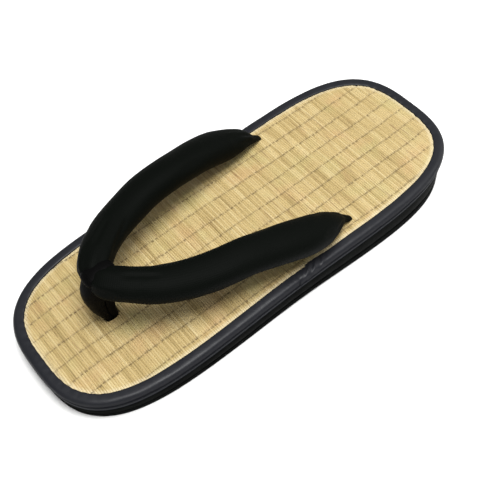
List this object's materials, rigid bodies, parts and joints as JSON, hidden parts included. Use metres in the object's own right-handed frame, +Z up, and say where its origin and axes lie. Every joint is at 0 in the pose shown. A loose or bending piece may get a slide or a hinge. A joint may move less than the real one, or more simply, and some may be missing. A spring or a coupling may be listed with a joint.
{
  "type": "zori sandal",
  "caption": "Flat rush-topped sandal with padded thong straps, a rolled tape edge and a wedge sole, for either foot.",
  "frame": {"origin": "on the ground under the middle of the sandal's length and width", "axes": "+X towards the toe, +Z up from the ground, +Y to the wearer's left"},
  "size_m": [0.2498, 0.099, 0.0576],
  "materials": {
    "rush": "woven rush, satin",
    "insole_foam": "matt foam",
    "binding_vinyl": "satin vinyl tape",
    "midsole_vinyl": "satin vinyl",
    "sole_rubber": "matt",
    "strap_cloth": "padded stretch cloth, matt",
    "thong_cloth": "woven band, matt"
  },
  "bodies": {
    "root": {"rush_mat": "rush", "insole": "insole_foam", "binding_fore": "binding_vinyl", "binding_heel": "binding_vinyl", "midsole": "midsole_vinyl", "outsole": "sole_rubber", "straps": "strap_cloth", "front_thong": "thong_cloth"}
  },
  "joints": []
}
